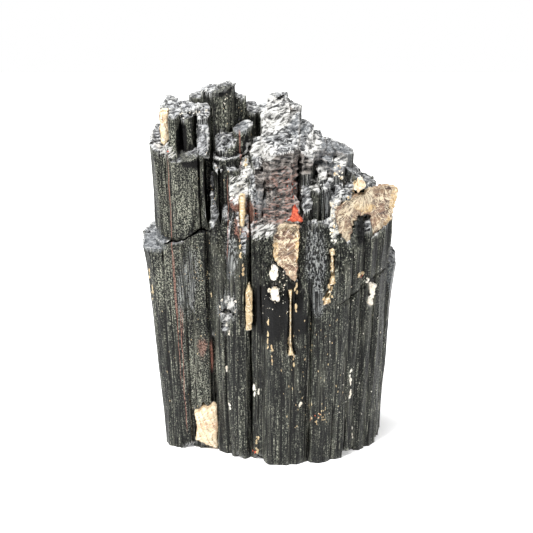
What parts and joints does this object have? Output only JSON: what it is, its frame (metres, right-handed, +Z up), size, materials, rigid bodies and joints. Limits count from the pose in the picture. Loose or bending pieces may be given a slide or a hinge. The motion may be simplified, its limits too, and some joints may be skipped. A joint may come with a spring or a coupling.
{
  "type": "tourmaline crystal specimen",
  "caption": "Bundle of parallel black tourmaline prisms with a stepped, broken top, a flat foot, and mica plates and feldspar grains set in its faces.",
  "frame": {"origin": "on the resting plane, under the middle of the specimen's bounding box", "axes": "+Z up along the prisms, +Y from front to back, +X to the right as seen from the front"},
  "size_m": [0.073, 0.0482, 0.1063],
  "materials": {
    "schorl": "striated, glossy on clean faces and sparkling where broken",
    "mica": "pearly, in thin leaves",
    "feldspar": "cream, dull, with flat cleavage steps",
    "white_feldspar": "off-white, dull, grainy",
    "iron_clay": "orange red, earthy"
  },
  "bodies": {
    "root": {"tourmaline_bundle": "schorl", "mica_plate_right": "mica", "mica_plate_centre": "mica", "feldspar_lower_left": "feldspar", "feldspar_top_left": "feldspar", "feldspar_rod": "feldspar", "feldspar_strip": "feldspar", "feldspar_knob": "feldspar", "feldspar_grain_right": "white_feldspar", "feldspar_grain_upper": "white_feldspar", "feldspar_grain_lower": "white_feldspar", "feldspar_vein_right": "feldspar", "feldspar_needle": "feldspar", "iron_clay_patch": "iron_clay"}
  },
  "joints": []
}
